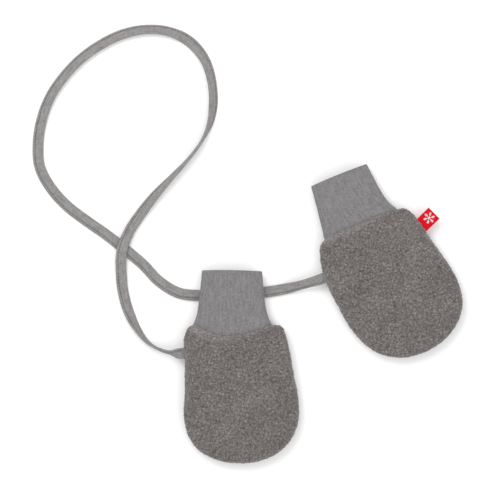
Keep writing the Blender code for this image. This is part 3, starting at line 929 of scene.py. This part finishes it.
def simulated(pouch):
    """Where a pouch's points go in cloth simulation with pressure inside, in millimetres."""
    settings = pouch.modifiers.new("cloth", "CLOTH").settings
    for key, value in CLOTH_SETTINGS.items():
        setattr(settings, key, value)
    settings.effector_weights.gravity = 0.0
    scene = bpy.context.scene
    for number in range(1, CLOTH_FRAMES + 1):
        scene.frame_set(number)
    mesh = pouch.evaluated_get(bpy.context.evaluated_depsgraph_get()).data
    after = np.empty(len(mesh.vertices) * 3, dtype=np.float32)
    mesh.vertices.foreach_get("co", after)
    scene.frame_set(1)
    return after.reshape(-1, 3) / MM


def puffed(name):
    """How far each point of both fleece halves moves when cloth simulation puffs the hand part."""
    surfaces = [half_surface(name, side, CLOTH_RAYS, CLOTH_RINGS) for side in (1, -1)]
    flat_points = np.concatenate([grid.reshape(-1, 3) for grid in surfaces]) * (1.0, -1.0, 1.0)
    surface = Surface()
    numbers = surface.add_points(flat_points).reshape(2, CLOTH_RAYS, CLOTH_RINGS + 1)
    for half in numbers:
        surface.add_quads(half)
    _, index = surface.merge(surface.points, CLOTH_MERGE)
    edges = [numbers[:, :, 0], numbers[:, 0], numbers[:, -1]]
    held = np.unique(index[np.concatenate([edge.ravel() for edge in edges])])
    pouch = surface.make(f"{name}_cloth", bpy.data.materials.new("cloth"))
    pouch.vertex_groups.new(name="held").add(held.tolist(), 1.0, "REPLACE")
    moved = simulated(pouch) - surface.points
    bpy.data.objects.remove(pouch, do_unlink=True)
    length = np.linalg.norm(moved, axis=1)
    moved *= (CLOTH_CAP * np.tanh(length / CLOTH_CAP) / np.maximum(length, 1e-6))[:, None]
    moved = moved[index].reshape(2, -1, 3) * (CLOTH_SIDEWAYS, -CLOTH_SIDEWAYS, 1.0)
    return [calmed(half, grid, MITTENS[name]["palm_middle"]) for half, grid in zip(moved, surfaces)]


def calmed(moved, grid, middle):
    """The same movements, evened out round the crowded points where the rays meet."""
    plan = grid.reshape(-1, 3)[:, :2]
    distance = np.linalg.norm(plan - np.array(middle), axis=1)
    near = distance < CALM_RADIUS
    apart = np.linalg.norm(plan[near][:, None] - plan[None], axis=2)
    weights = np.exp(-(apart / (CALM_RADIUS / 4)) ** 2) * distance
    even = weights @ moved / weights.sum(axis=1, keepdims=True)
    share = smoothstep(CALM_RADIUS, CALM_RADIUS / 2, distance[near])[:, None]
    calm = moved.copy()
    calm[near] = moved[near] * (1.0 - share) + even * share
    return calm.reshape(grid.shape)


# Cuff

def cuff_profile():
    """Depth and inset along the folded rib: up its outside, over the fold and down inside."""
    end = CUFF_LENGTH + CUFF_HIDDEN
    down = np.linspace(end, RIB, int(end / CUFF_ROW))
    angle = np.linspace(0.0, math.pi, 9)[1:-1]
    depth = np.concatenate([down, RIB - RIB * np.sin(angle), down[::-1]])
    inset = np.concatenate([down * 0.0, RIB * (1.0 - np.cos(angle)), down * 0.0 + 2 * RIB])
    return depth, inset


def cuff_ring(half_width):
    """Shares of the half width and half height round one flattened ring of the cuff."""
    quarter = CUFF_WALES * WALE_STEPS // 4
    angle = section_angles(CUFF_POWER, half_width, CUFF_BASE_HALF_HEIGHT, quarter)
    outward = np.abs(np.cos(angle)) ** (2 / CUFF_POWER)
    upward = np.sin(angle) ** (2 / CUFF_POWER)
    outward[-1] = 0.0
    outward = np.concatenate([outward, -outward[-2::-1], -outward[1:], outward[-2:0:-1]])
    upward = np.concatenate([upward, upward[-2::-1], -upward[1:], -upward[-2:0:-1]])
    return outward, upward


def cuff_relief(points):
    """How far ribs and creases raise the cuff's points. Its ribs stand out on both its plies."""
    rows, columns = points.shape[:2]
    outside = np.where(np.arange(rows) < rows / 2, 1.0, -1.0)[:, None]
    wales = RIB_HEIGHT * np.cos(np.arange(columns) * 2 * math.pi / WALE_STEPS)
    slanting = points @ np.array([[0.4, 0.3, 0.0], [1.0, 0.1, 0.0], [0.1, 0.1, 0.4]])
    creases = swell(slanting, CREASE_LENGTH, 11) + 0.5 * swell(points, SWELL_LENGTH, 12)
    return outside * wales + CREASE_HEIGHT * creases


def cuff(name, material):
    """A tube of rib knit folded double at its top, flattened, and flared to the wrist."""
    mitten = MITTENS[name]
    depth, inset = cuff_profile()
    depth, inset = depth[:, None], inset[:, None]
    share = np.minimum(depth / CUFF_LENGTH, 1.0)
    tucked = smoothstep(CUFF_LENGTH - 1.0, CUFF_LENGTH + 5.0, depth)
    left, right = [top + (base - top) * (straight * share + (1.0 - straight) * share**CUFF_FLARE)
                   for top, base, straight in mitten["cuff_sides"]]
    middle = (right - left) / 2
    width = (right + left) / 2 - inset - CUFF_TUCK * tucked
    taper = CUFF_BASE_HALF_HEIGHT - CUFF_TOP_HALF_HEIGHT
    height = CUFF_TOP_HALF_HEIGHT - inset + taper * share

    outward, upward = cuff_ring(width.mean())
    across = middle + outward * width
    points = np.stack([across, depth + 0.0 * across, SEAM_HEIGHT + upward * height], axis=-1)
    off = unit(np.stack([outward / width.mean() * 4, 0.0 * outward, upward], axis=-1))
    points = points + cuff_relief(points)[..., None] * off
    from_middle = across / width.min()
    points[..., 1] += (TOP_SLANT * from_middle - TOP_BOW * (1.0 - from_middle**2)) * (1.0 - share)

    surface = Surface("OFBake", "knit")
    numbers = closed_columns(surface.add_points(in_world(name, points)))
    along = lengths_along(np.column_stack([depth, inset]))
    over = np.arange(len(outward) + 1) * WALE / WALE_STEPS
    surface.add_quads(numbers, knit=knit_places(along, over))
    surface.add_strip(numbers[0], numbers[-1])
    piece = surface.make(f"{name}_rib_cuff", material)
    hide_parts(f"{name}_cuff")
    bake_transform(piece)


# Small pieces

def tack(name, material):
    """A bar of stitches that holds the cord's end in the side seam."""
    low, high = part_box(f"{name}_cord_tack")
    middle = np.array((low + high) / 2) / MM
    pivot = np.array(JOINTS[f"{name}_swing"]["pos_m"]) / MM
    out = unit(middle - pivot) * (1.0, 1.0, 0.0)
    beside = np.array([-out[1], out[0], 0.0])
    surface = Surface("OFBake")
    shape = [(-3.4, 0.6), (-1.8, 1.3), (-0.6, 1.35), (0.1, 0.7), (0.1, -0.7), (-0.6, -1.35),
             (-1.8, -1.3), (-3.4, -0.6)]
    section = smooth_curve(shape, 22)
    for number in range(TACK_STITCHES):
        shift = (number - (TACK_STITCHES - 1) / 2) * TACK_PITCH
        slant = 0.5 * TACK_PITCH * np.linspace(-1.0, 1.0, len(section))
        line = middle + section[:, :1] * out + (shift + slant)[:, None] * beside
        line[:, 2] += section[:, 1]
        tube(surface, line, TACK_THREAD / 2, beside)
    piece = surface.make(f"{name}_tack_stitches", material)
    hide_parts(f"{name}_cord_tack")
    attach(piece, f"{name}_mitten")


def label_axes():
    """The middle of the label's edge in the seam, and its directions along the seam and out."""
    hinge = JOINTS["label_flip"]
    axis = np.array(hinge["axis"])
    return np.array(hinge["pos_m"]) / MM, axis, np.array([-axis[1], axis[0], 0.0])


def on_label(over, out, up):
    """Points of the label: over its width, out of the seam, and above its flat middle."""
    start, axis, reach = label_axes()
    curl = LABEL_CURL * (out / LABEL_REACH) ** 2 * (1.0 + over / LABEL_WIDTH)
    return (start + over[..., None] * axis + out[..., None] * reach
            + (up + curl)[..., None] * np.array([0.0, 0.0, 1.0]))


def label_ribbon(material):
    """A ribbon folded double and caught in the side seam."""
    end = LABEL_REACH - LABEL_PLY
    straight = np.linspace(-LABEL_SEWN_IN, end, 60)
    angle = np.linspace(-math.pi / 2, math.pi / 2, 9)[1:-1]
    out = np.concatenate([straight, end + LABEL_PLY * np.cos(angle), straight[::-1]])
    up = LABEL_PLY * np.concatenate([straight * 0.0 - 1.0, np.sin(angle), straight * 0.0 + 1.0])
    walked = lengths_along(np.column_stack([out, up]))
    over = np.linspace(-LABEL_WIDTH / 2, LABEL_WIDTH / 2, 65)
    edge = smoothstep(LABEL_WIDTH / 2 - 0.5, LABEL_WIDTH / 2 - 1.1, np.abs(over))
    rib = 0.03 * np.sin(out * 2 * math.pi / LABEL_RIB)[:, None] * edge
    selvage = 0.07 * (1.0 - edge) + rib

    surface = Surface("knit")
    knit_map = knit_places(walked, over)
    over, out = np.meshgrid(over, out)
    half = np.sign(up)[:, None] * (LABEL_CLOTH / 2 + selvage)
    outer, inner = [surface.add_points(on_label(over, out, up[:, None] + sign * half))
                    for sign in (1.0, -1.0)]
    for numbers in (outer, inner):
        surface.add_quads(numbers, knit=knit_map)
    for first, second in ((outer[:, 0], inner[:, 0]), (outer[:, -1], inner[:, -1]),
                          (outer[0], inner[0]), (outer[-1], inner[-1])):
        surface.add_strip(first, second)
    piece = surface.make("label_ribbon", material)
    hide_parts("label_tab")
    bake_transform(piece)


def label_snowflake(material):
    """A plain snowflake woven on the label: six arms, each with two pairs of side branches."""
    slant = math.radians(52)
    strokes = [(0.0, 1.0, 0.0)] + [(place, SNOWFLAKE_BRANCH, turn)
                                   for place in (0.5, 0.74) for turn in (slant, -slant)]
    share = np.linspace(0.0, 1.0, 12)
    lift = LABEL_PLY + LABEL_CLOTH / 2 + 0.12
    surface = Surface()
    for arm in range(6):
        heading = math.radians(60 * arm)
        for begin, length, turn in strokes:
            over = begin * math.cos(heading) + length * share * math.cos(heading + turn)
            out = begin * math.sin(heading) + length * share * math.sin(heading + turn)
            line = on_label(SNOWFLAKE_RADIUS * over,
                            SNOWFLAKE_RADIUS * out + LABEL_REACH * 0.52, over * 0.0 + lift)
            tube(surface, line, SNOWFLAKE_THREAD / 2, (0.0, 0.0, 1.0), sides=6)
    flake = surface.make("label_snowflake", material)
    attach(flake, "label")


# The whole picture

view_low, view_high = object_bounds()
view_middle = (view_low + view_high) / 2 + Vector((*VIEW_SHIFT, 0.0)) * MM
view_middle.z = 0.0
camera_and_light(view_middle)

cord_knit = knit_material("cord_jersey", (0.246, 0.237, 0.234), 1.05, COURSE)
cotton = thread_material("grey_thread", (0.15, 0.142, 0.142))
tack_cotton = thread_material("tack_thread", (0.27, 0.26, 0.257))
cord(cord_knit, thread_material("cord_thread", (0.09, 0.085, 0.086)))
for mitten_name in MITTENS:
    for seam_name in ("side_seam", "lining_seam", "wrist_seam"):
        frame["nodes"][f"{mitten_name}_{seam_name}"].data.materials[0] = cotton

fleece = fleece_material()
jersey = knit_material("lining_jersey", (0.24, 0.235, 0.24), 0.9, 0.8)
rib = knit_material("cuff_rib", (0.197, 0.190, 0.192), WALE, 0.8)
label_ribbon(thread_material("label_ribbon", (0.60, 0.003, 0.012), 0.7, specular=0.08))
label_snowflake(thread_material("white_thread", (0.8, 0.8, 0.8), 0.5))
for mitten_name in MITTENS:
    tack(mitten_name, tack_cotton)
    slack = puffed(mitten_name)
    for side_sign, half_slack, seed in ((1, slack[0], 1), (-1, slack[1], 2)):
        half_shell(mitten_name, side_sign, FLEECE_LAYER, fleece, half_slack, seed)
        half_shell(mitten_name, side_sign, LINING_LAYER, jersey)
    cuff(mitten_name, rib)
